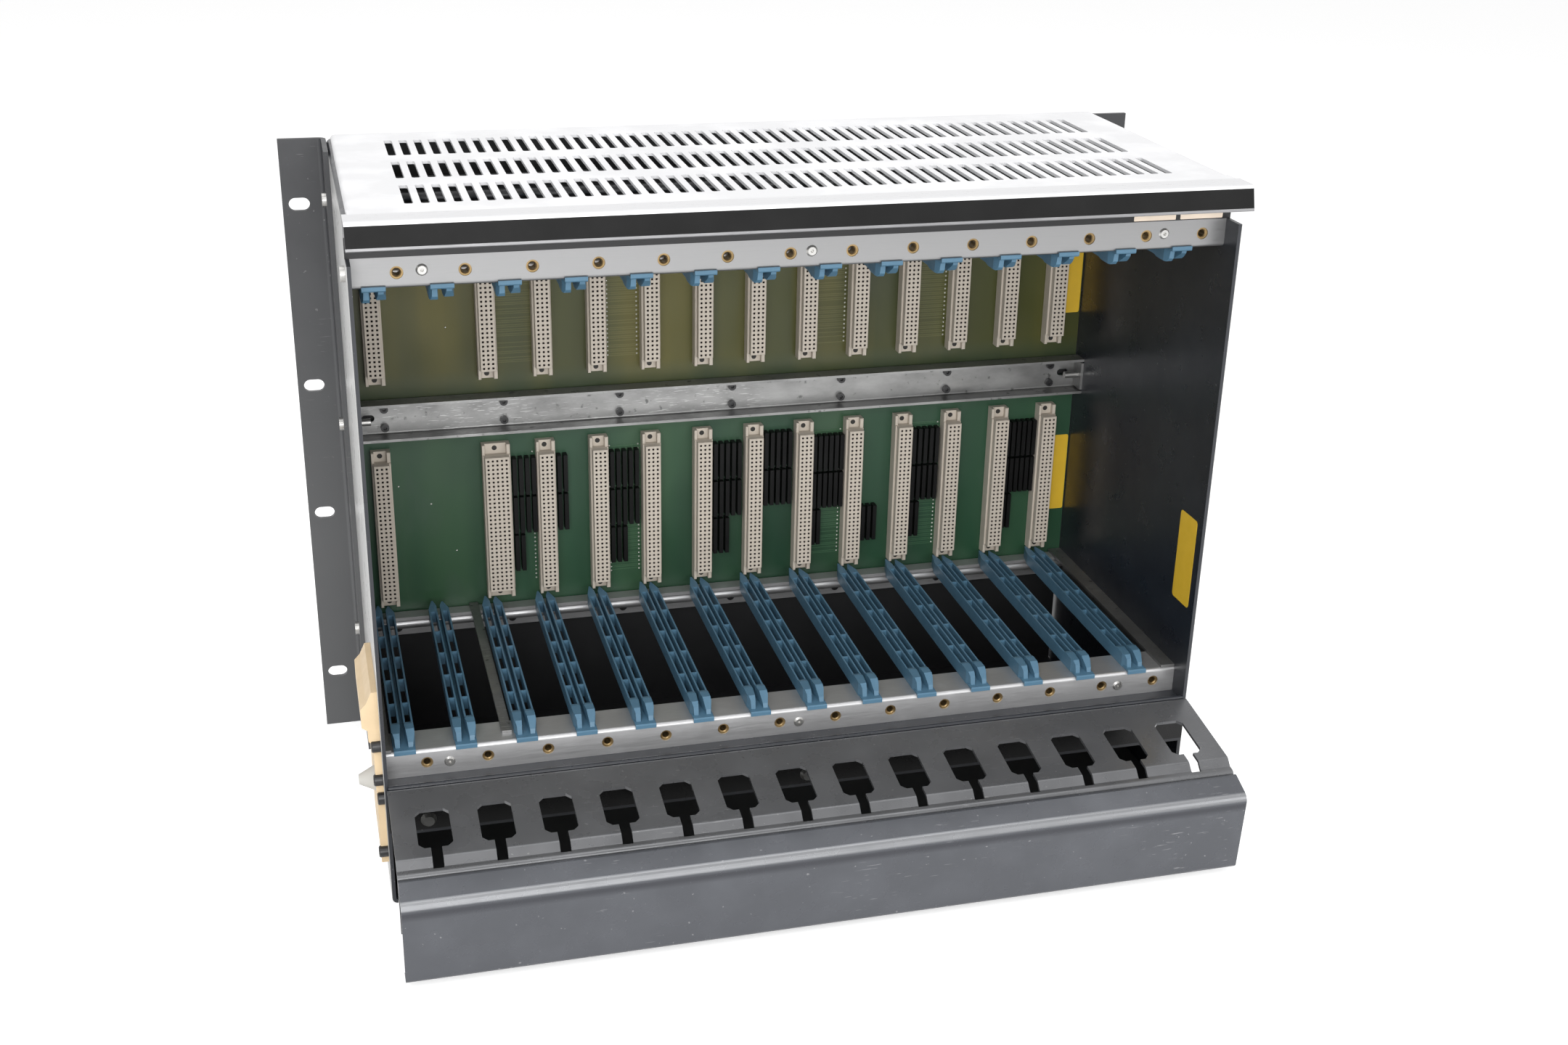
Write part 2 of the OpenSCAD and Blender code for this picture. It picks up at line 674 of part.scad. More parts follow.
module card_guide() {
    throat_d = 2.6;
    difference() {
        union() {
            translate([-guide_half, ladder_a, 0]) cube([guide_w, ladder_b - ladder_a, guide_h]);
            guide_foot();
            guide_cheek(guide_h * 0.5, 9.5);
            mirror([1, 0, 0]) guide_cheek(guide_h * 0.84, 5.5);
            guide_prong(guide_end - 2);
            mirror([1, 0, 0]) guide_prong(guide_end);
        }
        translate([-groove_half, ladder_a - cut, guide_floor]) cube([groove_w, guide_end, guide_h]);
        translate([0, block_l - 2, guide_floor]) cylinder(d = throat_d, h = guide_h);
        for (side = [0, 1], k = [0 : guide_windows - 1]) mirror([side, 0, 0]) guide_window(k);
    }
}

module lower_guide(i) color([0.33, 0.52, 0.78]) cage_frame()
    translate([slot_x(i) + guide_shift, 0, deck_z]) card_guide();
module upper_guide(i) color([0.33, 0.52, 0.78]) cage_frame() upside()
    translate([slot_x(i) + guide_shift, 0, deck_z]) card_guide();

// ---------- ledges and bar beside the guides ----------

ledge_gap = 0.98;                          // from the left ledge to the first guide
ledge_left_w = inner_half + slot_x(0) + guide_shift - guide_half - ledge_gap;
ledge_right_w = 8;
ledge_t = 1.5;
ledge_drop = 12;
ledge_inset = 0.5;                         // ends of a ledge behind the rail face and before the boards

module side_ledge(w) {
    translate([-inner_half, ledge_inset, deck_z]) cube([w, board_y - 2 * ledge_inset, ledge_t]);
    translate([-inner_half, rail_d + run_gap, deck_z - ledge_drop])
        cube([ledge_t, board_y - rear_rail_d - rail_d - 2 * run_gap, ledge_drop + eps]);
}

module side_ledge_left() color([0.4, 0.4, 0.42]) cage_frame() side_ledge(ledge_left_w);
module side_ledge_right() color([0.4, 0.4, 0.42]) cage_frame() mirror([1, 0, 0]) side_ledge(ledge_right_w);

bar_w = 5;
bar_front = 8;                             // front end of the bar behind the rail face
bar_gap = 1.04;                            // from the bar to the third guide

module depth_bar() color([0.36, 0.35, 0.34]) cage_frame()
    translate([slot_x(2) + guide_shift - guide_half - bar_gap - bar_w, bar_front, deck_z])
        cube([bar_w, board_y - 1 - bar_front, ledge_t]);

// ---------- top cover and fascia ----------

cover_top = side_h + cover_rise;
cover_half = outer_half - cover_gap;
cover_front = -5;
cover_back = flange_y - 10;
cover_r = 0.7;                             // inner bend radius of the cover
vent_rows = 3;
vents = floor((2 * (cover_half - vent_margin) - vent_w) / vent_pitch) + 1;
vents_w = (vents - 1) * vent_pitch + vent_w;
vent_row_pitch = (cover_back - vent_back - cover_front - vent_front - vent_l) / (vent_rows - 1);
rear_lip = 8;                              // rear flange of the cover below the side plate tops

module top_cover() {
    color("white") cage_frame() difference() {
        union() {
            translate([-cover_half, cover_front, cover_top - cover_t])
                cube([2 * cover_half, notch_d + eps - cover_front, cover_t]);
            along_y(notch_d, cover_back) bent_sheet([
                [-cover_half, side_h], [-cover_half, cover_top, cover_r],
                [cover_half, cover_top, cover_r], [cover_half, side_h]], cover_t);
            translate([-inner_half + side_fold, cover_back - cover_t, side_h - rear_lip])
                cube([2 * (inner_half - side_fold), cover_t, rear_lip + cover_rise - cover_t + eps]);
        }
        for (row = [0 : vent_rows - 1], k = [0 : vents - 1])
            translate([k * vent_pitch - vents_w / 2, cover_front + vent_front + row * vent_row_pitch,
                       cover_top - cover_t - cut])
                linear_extrude(cover_t + 2 * cut) punched(vent_w, vent_l, vent_w / 5);
    }
}

strip_t = 0.8;                             // thickness of the black strip in the fascia
fascia_wall = 1.6;
fascia_edge = 1.2;                         // rounding of the upper front edge
strip_top = fascia_h - lip_above;

// A point on the fascia face: height above its lower edge, distance out from the strip's seat.
function face_pt(h, out) =
    [-fascia_reach + fascia_lean * h / fascia_h + strip_t - out, cover_top - fascia_h + h];

module fascia_profile() {
    web_t = rail_t;
    under = cover_top - cover_t;
    color("silver") cage_frame() along_x(outer_half) polygon([
        face_pt(0, strip_t / 2), face_pt(strip_t / 2, strip_t), face_pt(lip_below, strip_t),
        face_pt(lip_below, 0), face_pt(strip_top, 0), face_pt(strip_top, strip_t),
        face_pt(fascia_h - fascia_edge, strip_t), face_pt(fascia_h - fascia_edge / 4, strip_t / 2),
        face_pt(fascia_h, -strip_t), [cover_front, cover_top], [cover_front, under], [web_t, under],
        [web_t, upper_edge_z], [0, upper_edge_z], [0, under - fascia_wall],
        face_pt(fascia_h - cover_t - fascia_wall, -fascia_wall), face_pt(fascia_wall, -fascia_wall),
        face_pt(0, -fascia_wall)]);
}

module fascia_strip() color([0.13, 0.13, 0.13]) cage_frame() along_x(outer_half)
    polygon([face_pt(lip_below, 0), face_pt(lip_below, strip_t),
             face_pt(strip_top, strip_t), face_pt(strip_top, 0)]);

// ---------- lower compartment ----------

tray_z = rail_z - tray_drop;               // top of the tray at its rear bend
tray_half = outer_half - tray_gap;
beam_y = -side_lead - 0.5;                 // front face of the lower beam
beam_z = tray_z - 27.6;                    // lower edge of the beam
beam_head = 1.2;                           // front wall of the beam below the tray's top
panel_t = 1.5;
panel_half = inner_half - side_r - run_gap;

module lower_beam() {
    bead_r = 1.5;
    top_z = rail_z - rail_h / 2;
    color([0.3, 0.3, 0.31]) cage_frame() difference() {
        along_x(inner_half) {
            translate([beam_y, beam_z]) square([tray_t, tray_z - beam_head - beam_z]);
            translate([beam_y + bead_r, tray_z - bead_r]) circle(r = bead_r);
            translate([beam_y, top_z - tray_t]) square([rail_d - beam_y, tray_t]);
        }
        tray_screw_holes(beam_y - cut, tray_t + 2 * cut);
    }
}

module lower_rear_panel() color([0.1, 0.1, 0.1]) cage_frame()
    translate([-panel_half, board_y, side_t + panel_t])
        cube([2 * panel_half, panel_t, board_z(-1) - board_h / 2 - run_gap - side_t - panel_t]);

module base_plate() color([0.1, 0.1, 0.1]) cage_frame()
    translate([-panel_half, side_fold / 4 - side_lead, side_t])
        cube([2 * panel_half, board_y + panel_t + side_lead - side_fold / 4, panel_t]);

// ---------- cable tray, its screws and trim ----------

tray_r = 1;                                // inner bend radius of the tray
tray_front = beam_y - tray_l;              // front edge of the tray's flat top
tray_foot = tray_front - 8;                // front face of the tray's hanging flange
tray_hang = 32;                            // height of the hanging flange
tray_lap = 25;                             // height of the tray's rear flange on the beam
tray_screw_z = tray_z - 19.4;
tray_screw_margin = 18.5;
tray_screw_xs = [for (k = [-1 : 1]) k * (inner_half - tray_screw_margin)];
tray_step = 3.6;                           // height of the step in front of the tray's top
key_pitch = 2 * (tray_half - key_margin) / (slots - 1);
key_y = beam_y - tray_l * 0.62;            // middle of the keyholes
neck_end = 3.5;                            // end of a neck behind the front of the tray
function tray_top(y) = tray_z + (y - beam_y) * tan(tray_slope);
step_z = tray_top(tray_front) - tray_step;

module tray_screw_holes(y, l) for (x = tray_screw_xs)
    translate([x, y, tray_screw_z]) rotate([-90, 0, 0]) cylinder(d = fix_hole, h = l);

module keyhole() {
    neck_l = key_y - tray_foot - neck_end;
    translate([-key_w / 2, -key_l / 2]) punched(key_w, key_l, neck_w / 2);
    translate([-neck_w / 2, -neck_l]) square([neck_w, neck_l]);
}

module cable_tray() {
    color([0.33, 0.34, 0.35]) cage_frame() difference() {
        along_x(tray_half) bent_sheet([
            [tray_foot, step_z - tray_hang], [tray_foot, step_z - 0.5, tray_r],
            [tray_front - 3.6, step_z, tray_r / 2], [tray_front, tray_top(tray_front), tray_r],
            [beam_y, tray_z, tray_r], [beam_y, tray_z - tray_lap]], tray_t);
        for (i = [0 : slots - 1])
            translate([(i - (slots - 1) / 2) * key_pitch, key_y, step_z - 2 * tray_t])
                linear_extrude(tray_z) keyhole();
        tray_screw_holes(beam_y - tray_t - cut, tray_t + 2 * cut);
    }
}

module tray_screws() color("gainsboro") cage_frame() for (x = tray_screw_xs)
    translate([x, beam_y - tray_t, tray_screw_z]) rotate([-90, 0, 0]) {
        head_h = 2.4;
        difference() {
            translate([0, 0, -head_h]) cylinder(d1 = 1.35 * fix_d, d2 = 2 * fix_d, h = head_h);
            for (a = [0, 90]) rotate([0, 0, a]) cube([1.1 * fix_d, 0.9, head_h + 0.6], center = true);
        }
        translate([0, 0, -eps]) cylinder(d = fix_d, h = 2 * tray_t + fix_d);
    }

rim_drop = 6.6;                            // rim below the top of the tray's step
trim_lean = 2.8;                           // backward lean of the front wall
trim_hem = 7.4;                            // fold along the lower edge
trim_lap = 24;                             // height of the rear flange on the tray
lap_r = 0.6;                               // inner bend radius of that flange

// The trim hooks over the front of the tray, slopes to a round rim and turns in under its front wall.
module tray_trim() {
    lip_top = step_z + run_gap / 2;
    rim_y = -trim_reach - 0.2;             // corner ahead of the round rim
    color([0.42, 0.44, 0.48]) cage_frame() along_x(tray_half) bent_sheet([
        [rim_y + trim_lean + trim_hem, trim_gap], [rim_y + trim_lean, trim_gap, tray_r],
        [rim_y, lip_top - rim_drop, rim_r],
        [tray_foot, lip_top, lap_r], [tray_foot, lip_top - trim_lap]], trim_t);
}

// ---------- terminal strip on the left side ----------

term_y = -5;                               // front edge of the strip
cone_y = 8;
cone_z = term_z + 42;

// Front view of the strip's stepped end: distance out in thicknesses, drop below the top.
term_steps = [[1, 29], [1.6, 27], [1.6, 21], [2.4, 19], [2.4, 9], [1.6, 6], [0.8, 0]];

module term_section() {
    polygon(concat([[0, 0], [term_t, 0]],
                   [for (step = term_steps) [step.x * term_t, term_h - step.y]], [[0, term_h]]));
}

module terminal_strip() {
    color([0.93, 0.86, 0.7]) cage_frame() difference() {
        union() {
            along_y(term_y, term_y + term_d)
                translate([-outer_half, term_z]) mirror([1, 0]) term_section();
            translate([-outer_half - term_t + eps, cone_y, cone_z])
                rotate([0, -90, 0]) cylinder(d1 = 13, d2 = 5, h = 8);
        }
        translate([-outer_half - 3 * term_t, fix_y_front, deck_z - channel_drop])
            rotate([0, 90, 0]) cylinder(d = fix_head_d + 1, h = 3 * term_t + cut);
    }
}

side_plate_left();
side_plate_right();
rack_flange_left();
rack_flange_right();
top_cover();
fascia_profile();
fascia_strip();
front_rail_top();
front_rail_bottom();
rail_inserts();
rail_rivets();
rear_rail_top();
rear_rail_bottom();
mid_channel();
backplane_upper();
backplane_lower();
backplane_screws();
connectors_upper();
connectors_lower();
connector_wide();
resistor_networks();
side_ledge_left();
side_ledge_right();
depth_bar();
side_screws();
lower_beam();
lower_rear_panel();
base_plate();
cable_tray();
tray_trim();
tray_screws();
terminal_strip();
for (i = [0 : slots - 1]) {
    lower_guide(i);
    upper_guide(i);
}
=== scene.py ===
"""Looks of a 19-inch subrack card cage: finishes for every CAD node, and the fine pieces that the
CAD model leaves out: contact holes, board traces, solder joints, labels and screw heads."""

import json
import math
import random

import bmesh
import bpy
from mathutils import Matrix, Vector


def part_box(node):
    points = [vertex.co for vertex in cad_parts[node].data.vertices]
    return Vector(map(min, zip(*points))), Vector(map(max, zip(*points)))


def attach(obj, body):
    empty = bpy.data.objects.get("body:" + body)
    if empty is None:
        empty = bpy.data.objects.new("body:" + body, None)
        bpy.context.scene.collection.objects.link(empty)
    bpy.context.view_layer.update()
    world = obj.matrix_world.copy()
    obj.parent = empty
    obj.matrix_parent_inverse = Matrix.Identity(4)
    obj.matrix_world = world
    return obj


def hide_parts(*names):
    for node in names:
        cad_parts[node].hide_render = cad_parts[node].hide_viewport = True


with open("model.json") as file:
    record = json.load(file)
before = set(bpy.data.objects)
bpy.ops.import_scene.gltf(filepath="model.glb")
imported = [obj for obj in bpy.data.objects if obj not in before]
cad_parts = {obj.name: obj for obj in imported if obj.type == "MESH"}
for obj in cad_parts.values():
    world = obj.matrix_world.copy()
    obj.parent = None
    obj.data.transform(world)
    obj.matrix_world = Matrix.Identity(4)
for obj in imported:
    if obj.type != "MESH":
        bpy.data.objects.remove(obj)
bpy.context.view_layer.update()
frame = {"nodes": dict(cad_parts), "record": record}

MM = 0.001
BODY = "root"
NODES = frame["nodes"]
random.seed(7)

# Planes and pitches read from the frame.
FACE_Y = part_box("front_rail_bottom")[0].y        # front faces of the rails
UPPER_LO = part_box("backplane_upper")[0]
LOWER_LO, LOWER_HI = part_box("backplane_lower")
BOARD_Y = LOWER_LO.y
SLOTS = sum(name.startswith("guide_bottom_") for name in NODES)
CONNECTOR_SHIFT = 4.4 * MM       # from the middle of a guide to the middle of its connector
CONNECTOR_X = [sum(corner.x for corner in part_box(f"guide_bottom_{i + 1}")) / 2 + CONNECTOR_SHIFT
               for i in range(SLOTS)]
CONTACT_PITCH = 2.54 * MM
EMPTY_SLOT, WIDE_SLOT = 1, 2     # slot without connectors, slot with the five-row connector


# ---------------------------------------------------------------- node materials

class Finish:
    """A Principled material with helpers for procedural detail in object coordinates."""

    def __init__(self, name, color, rough=0.5, metal=0.0, spec=0.5):
        self.mat = bpy.data.materials.new(name)
        self.mat.use_nodes = True
        self.tree = self.mat.node_tree
        self.shader = self.tree.nodes["Principled BSDF"]
        self.shader.inputs["Base Color"].default_value = (*color, 1)
        self.shader.inputs["Roughness"].default_value = rough
        self.shader.inputs["Metallic"].default_value = metal
        self.shader.inputs["Specular IOR Level"].default_value = spec
        self.color = color
        self.color_out = None
        self.bump_out = None
        self.coords = self.node("ShaderNodeTexCoord").outputs["Object"]

    def node(self, kind, **settings):
        made = self.tree.nodes.new(kind)
        for key, value in settings.items():
            setattr(made, key, value)
        return made

    def link(self, a, b):
        self.tree.links.new(a, b)

    def mapped(self, stretch=(1, 1, 1), turn=(0, 0, 0)):
        """Object coordinates, stretched and turned."""
        mapping = self.node("ShaderNodeMapping")
        mapping.inputs["Rotation"].default_value = turn
        mapping.inputs["Scale"].default_value = stretch
        self.link(self.coords, mapping.inputs["Vector"])
        return mapping.outputs["Vector"]

    def noise_at(self, vector, scale, detail, rough=0.5):
        noise = self.node("ShaderNodeTexNoise")
        noise.inputs["Scale"].default_value = scale
        noise.inputs["Detail"].default_value = detail
        noise.inputs["Roughness"].default_value = rough
        self.link(vector, noise.inputs["Vector"])
        return noise.outputs["Fac"]

    def noise(self, scale, stretch=(1, 1, 1), detail=4.0, rough=0.5):
        """Noise with features of about 1/scale metres; a small stretch draws them out along its axis."""
        return self.noise_at(self.mapped(stretch), scale, detail, rough)

    def ramp(self, value, low, high, out_low=0.0, out_high=1.0):
        """Brings low to high onto out_low to out_high, and clamps."""
        made = self.node("ShaderNodeMapRange")
        made.clamp = True
        made.inputs["From Min"].default_value = low
        made.inputs["From Max"].default_value = high
        made.inputs["To Min"].default_value = out_low
        made.inputs["To Max"].default_value = out_high
        self.link(value, made.inputs["Value"])
        return made.outputs["Result"]

    def tint(self, value, color):
        """Mixes color over what is there, by value."""
        mix = self.node("ShaderNodeMix", data_type="RGBA")
        self.link(value, mix.inputs["Factor"])
        under, over = (s for s in mix.inputs if s.type == "RGBA")
        if self.color_out is None:
            under.default_value = (*self.color, 1)
        else:
            self.link(self.color_out, under)
        over.default_value = (*color, 1)
        self.color_out = next(s for s in mix.outputs if s.type == "RGBA")
        self.link(self.color_out, self.shader.inputs["Base Color"])

    def band(self, axis, low, high, mirrored=False):
        """Rises from 0 at low to 1 at high, two places in metres along an axis. low may be the greater.
        When mirrored, both stand for the distance from the middle plane."""
        split = self.node("ShaderNodeSeparateXYZ")
        self.link(self.coords, split.inputs[0])
        value = split.outputs[axis]
        if mirrored:
            value = self.math("ABSOLUTE", value)
        return self.ramp(value, low, high)

    def both(self, *masks):
        """The overlap of masks."""
        result = masks[0]
        for mask in masks[1:]:
            result = self.math("MULTIPLY", result, mask)
        return result

    def window(self, axis, middle, half):
        """1 within half of the middle along an axis, and 0 outside."""
        soft = 0.1 * MM
        low, high = middle - half, middle + half
        return self.math("SUBTRACT", self.band(axis, low, low + soft), self.band(axis, high, high + soft))

    def math(self, operation, *values):
        made = self.node("ShaderNodeMath", operation=operation)
        for socket, value in zip(made.inputs, values):
            self.link(value, socket)
        return made.outputs[0]

    def roughen(self, value, low, high):
        self.link(self.ramp(value, 0.3, 0.7, low, high), self.shader.inputs["Roughness"])

    def bump(self, value, depth):
        bump = self.node("ShaderNodeBump")
        bump.inputs["Distance"].default_value = depth
        self.link(value, bump.inputs["Height"])
        if self.bump_out is not None:
            self.link(self.bump_out, bump.inputs["Normal"])
        self.bump_out = bump.outputs["Normal"]
        self.link(self.bump_out, self.shader.inputs["Normal"])


SCRATCH_ANGLES = (0.5, 1.8)
SCRATCH_STRETCH = (1, 14, 14)


def scratches(finish, color, amount=0.62, scale=90):
    """Sparse fine scratches: thin lines of a stretched noise, kept where a broad noise is high."""
    for angle in SCRATCH_ANGLES:
        lines = finish.noise_at(finish.mapped(SCRATCH_STRETCH, (angle, angle * 0.6, angle)), scale, 2)
        thin = finish.ramp(lines, amount + 0.08, amount + 0.12)
        area = finish.ramp(finish.noise(14, detail=1), 0.5, 0.62)
        finish.tint(finish.both(thin, area), color)


def specks(finish, color):
    """Small bright chips and dust grains."""
    finish.tint(finish.ramp(finish.noise(420, detail=1), 0.755, 0.785), color)


def paint(name, color, rough, worn=None, metal=0.0, spec=0.5):
    """Satin paint on sheet metal, with orange-peel grain, faint dust and optional scratches."""
    f = Finish(name, color, rough, metal, spec)
    f.tint(f.ramp(f.noise(35, detail=6), 0.42, 0.75), tuple(min(1, c * 1.2 + 0.003) for c in color))
    if worn:
        scratches(f, worn)
        specks(f, worn)
    f.roughen(f.noise(60, detail=5), rough - 0.05, rough + 0.07)
    f.bump(f.noise(1800, detail=2), 0.012 * MM)
    return f


def brushed(name, color, rough, metal=0.9, along=(1, 40, 40), contrast=0.12):
    """Drawn or brushed metal with streaks along one axis."""
    f = Finish(name, color, rough, metal)
    dark = tuple(c * (1 - contrast) for c in color)
    light = tuple(min(1, c * (1 + contrast)) for c in color)
    f.tint(f.ramp(f.noise(120, along, detail=5), 0.35, 0.65), dark)
    f.tint(f.ramp(f.noise(45, detail=4), 0.55, 0.8), light)
    f.roughen(f.noise(90, along), rough - 0.07, rough + 0.1)
    f.bump(f.noise(420, along, detail=3), 0.006 * MM)
    return f


def moulded(name, color, rough, mottle=0.12):
    """Injection-moulded plastic."""
    f = Finish(name, color, rough, spec=0.4)
    f.tint(f.ramp(f.noise(70, detail=5), 0.4, 0.8), tuple(c * (1 - mottle) for c in color))
    f.roughen(f.noise(140), rough - 0.05, rough + 0.07)
    f.bump(f.noise(2600, detail=2), 0.01 * MM)
    return f


def zinc(name, color):
    """Zinc-plated sheet: cloudy patches, dark spots and small scratches."""
    f = Finish(name, color, 0.42, 0.85)
    clouds = f.noise(26, (1, 1, 2.4), detail=8, rough=0.65)
    f.tint(f.ramp(clouds, 0.38, 0.7), tuple(c * 0.66 for c in color))
    f.tint(f.ramp(f.noise(210, detail=3), 0.64, 0.72), tuple(c * 0.4 for c in color))
    scratches(f, tuple(min(1, c * 1.5) for c in color), amount=0.56, scale=120)
    f.roughen(f.noise(50, detail=6), 0.3, 0.55)
    return f


def laminate(name, color, band, stain, haze):
    """Solder mask over copper: upright bands, stains and hazy patches."""
    f = Finish(name, color, 0.34, spec=0.35)
    f.tint(f.ramp(f.noise(26, (1, 1, 0.04), detail=2), 0.46, 0.66), band)
    f.tint(f.ramp(f.noise(9, (1, 1, 0.6), detail=3), 0.5, 0.72), stain)
    f.tint(f.ramp(f.noise(40, (1, 1, 0.35), detail=6), 0.6, 0.9), haze)
    f.roughen(f.noise(30, detail=5), 0.28, 0.46)
    f.bump(f.noise(900, (0.2, 1, 1), detail=2), 0.01 * MM)
    return f


OUTER_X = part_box("side_plate_right")[1].x        # outer face of a side plate
FASCIA_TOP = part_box("fascia_profile")[1].z
FASCIA_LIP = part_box("fascia_strip")[0].z
TRIM_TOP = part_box("tray_trim")[1].z
UPPER_HALF = (250 * MM, 260 * MM)                # heights between the lower and the upper rails
REAR_HALF = (80 * MM, 90 * MM)
COVER_WHITE = (0.7, 0.7, 0.71)


def side_sheet():
    """Side plates: blue-black paint inside, scratched galvanised sheet on the outer face."""
    f = paint("side_sheet", (0.013, 0.015, 0.02), 0.3)
    specks(f, (0.09, 0.092, 0.096))
    outer = f.band("X", OUTER_X - 0.3 * MM, OUTER_X - 0.1 * MM, mirrored=True)
    streaks = f.ramp(f.noise(60, (1, 1, 0.08), detail=6, rough=0.7), 0.4, 0.64)
    worn = f.ramp(f.noise(420, (1, 2, 0.12), detail=5), 0.6, 0.68)
    f.tint(outer, (0.42, 0.42, 0.41))
    f.tint(f.both(outer, streaks), (0.33, 0.33, 0.325))
    f.tint(f.both(outer, worn), (0.52, 0.52, 0.51))
    return f


def fascia():
    """Fascia profile: bare metal on the lips, its top wall tinted white as a painted highlight, and the
    web behind tinted near black as painted shade.
    """
    f = brushed("fascia_aluminium", (0.22, 0.22, 0.225), 0.34, metal=0.6)
    # Painted highlight: the top wall is tinted white where the top light falls on it.
    f.tint(f.band("Z", FASCIA_TOP - 1.9 * MM, FASCIA_TOP - 1.5 * MM), COVER_WHITE)
    # Painted shade: the web behind the fascia is tinted near black.
    web = f.both(f.band("Z", FASCIA_LIP - 0.4 * MM, FASCIA_LIP - 0.8 * MM),
                 f.band("Y", FACE_Y - 0.5 * MM, FACE_Y - 0.1 * MM))
    f.tint(web, (0.025, 0.025, 0.026))
    return f


def rail():
    """Brushed rails, with painted light and shade: the upper ones stand in full light and are tinted
    darker than the lower ones, and the upper rear one is tinted near black as painted shade under the
    cover.
    """
    f = brushed("rail_aluminium", (0.5, 0.5, 0.505), 0.36, metal=0.75)
    # Painted light: the upper rails are tinted darker than the lower rails, lit and shaded copies of one
    # finish.
    upper = f.band("Z", *UPPER_HALF)
    f.tint(upper, (0.26, 0.26, 0.262))
    # Painted shade: the upper rear rail, under the cover, is tinted near black.
    f.tint(f.both(upper, f.band("Y", *REAR_HALF)), (0.07, 0.07, 0.072))
    return f


def trim():
    """Tray trim: bluish grey satin paint, with a painted highlight along its round rim and painted shade
    under it.
    """
    f = paint("trim_paint", (0.078, 0.082, 0.092), 0.25, worn=(0.22, 0.22, 0.23), metal=0.4)
    # Painted highlight: a lighter band along the round rim.
    rim = f.both(f.band("Z", TRIM_TOP - 8.3 * MM, TRIM_TOP - 7.1 * MM),
                 f.band("Y", FACE_Y - 87.1 * MM, FACE_Y - 88.1 * MM))
    # Painted shade: a darker band just under the rim.
    shade = f.both(f.band("Z", TRIM_TOP - 14 * MM, TRIM_TOP - 11 * MM),
                   f.band("Z", TRIM_TOP - 8.2 * MM, TRIM_TOP - 9.7 * MM))
    f.tint(rim, (0.23, 0.235, 0.245))
    f.tint(shade, (0.045, 0.047, 0.055))
    return f


def flange():
    """Rack flanges: painted, and tinted lighter towards the feet as painted light."""
    f = paint("flange_paint", (0.028, 0.029, 0.032), 0.42, worn=(0.14, 0.14, 0.14))
    # Painted light: a gradient from dark at the top to lighter at the feet.
    f.tint(f.band("Z", 330 * MM, 120 * MM), (0.085, 0.087, 0.09))
    return f


def tray():
    """Tray and beam: grey satin paint; the flange and beam under the tray are tinted near black as
    painted shade.
    """
    f = paint("tray_paint", (0.115, 0.117, 0.122), 0.27, worn=(0.2, 0.2, 0.2), metal=0.4)
    # Painted shade: near black on the flange and beam beneath the tray's plane.
    under = f.both(f.band("Y", FACE_Y - 17.9 * MM, FACE_Y - 17.5 * MM), f.band("Z", 64.5 * MM, 63.5 * MM))
    f.tint(under, (0.004, 0.004, 0.004))
    return f


def cream():
    """Terminal strip: warm cream plastic, with a grey cone."""
    f = moulded("strip_cream", (0.74, 0.57, 0.36), 0.5)
    strip_face = OUTER_X + 3.5 * MM
    cone = f.both(f.band("X", strip_face - 0.1 * MM, strip_face + 0.1 * MM, mirrored=True),
                  f.window("Z", 62 * MM, 7 * MM), f.window("Y", FACE_Y + 8 * MM, 7.1 * MM))
    f.tint(cone, (0.5, 0.49, 0.46))
    return f


def olive():
    """Upper board: olive, greener along its lower edge."""
    f = laminate("board_olive", (0.045, 0.05, 0.01), (0.1, 0.088, 0.014), (0.026, 0.034, 0.009),
                 (0.06, 0.06, 0.018))
    f.tint(f.band("Z", 222 * MM, 200 * MM), (0.028, 0.05, 0.03))
    return f


FINISHES = {
    "dark_sheet": side_sheet(),
    "flange_paint": flange(),
    "cover_paint": paint("cover_paint", COVER_WHITE, 0.38),
    "bright_aluminium": fascia(),
    "rail_aluminium": rail(),
    "zinc_steel": zinc("zinc_sheet", (0.3, 0.3, 0.296)),
    "bright_steel": brushed("screw_steel", (0.48, 0.475, 0.46), 0.3, along=(1, 1, 1)),
    "black_steel": paint("black_oxide", (0.012, 0.012, 0.013), 0.3),
    "black_sheet": paint("black_sheet", (0.006, 0.006, 0.007), 0.6),
    "brass": brushed("insert_brass", (0.3, 0.21, 0.1), 0.4, along=(1, 1, 1), contrast=0.3),
    "black_plastic": paint("black_strip", (0.003, 0.003, 0.003), 0.45, spec=0.16),
    "board_olive": olive(),
    "board_green": laminate("board_green", (0.02, 0.062, 0.032), (0.035, 0.085, 0.04),
                            (0.013, 0.04, 0.022), (0.05, 0.085, 0.06)),
    "connector_beige": moulded("connector_beige", (0.52, 0.465, 0.395), 0.5, mottle=0.06),
    "guide_blue": moulded("guide_blue", (0.075, 0.165, 0.245), 0.4),
    "tray_paint": tray(),
    "trim_paint": trim(),
    "strip_cream": cream(),
}
MATS = {slot: finish.mat for slot, finish in FINISHES.items()}
MATS_BY_NODE = {"tray_screws": paint("dark_screw", (0.12, 0.12, 0.115), 0.3, metal=0.7).mat}
for sub in frame["record"]["subparts"]:
    cad_node = NODES[sub["node"]]
    cad_node.data.materials.clear()
    cad_node.data.materials.append(MATS_BY_NODE.get(sub["node"], MATS[sub["material_slot"]]))


# ---------------------------------------------------------------- mesh helper

def rectangle(lo, hi, y, grow=0.0):
    """The four corners of an upright rectangle at one depth, grown on all sides."""
    x0, z0, x1, z1 = lo[0] - grow, lo[2] - grow, hi[0] + grow, hi[2] + grow
    return [(x0, y, z0), (x1, y, z0), (x1, y, z1), (x0, y, z1)]


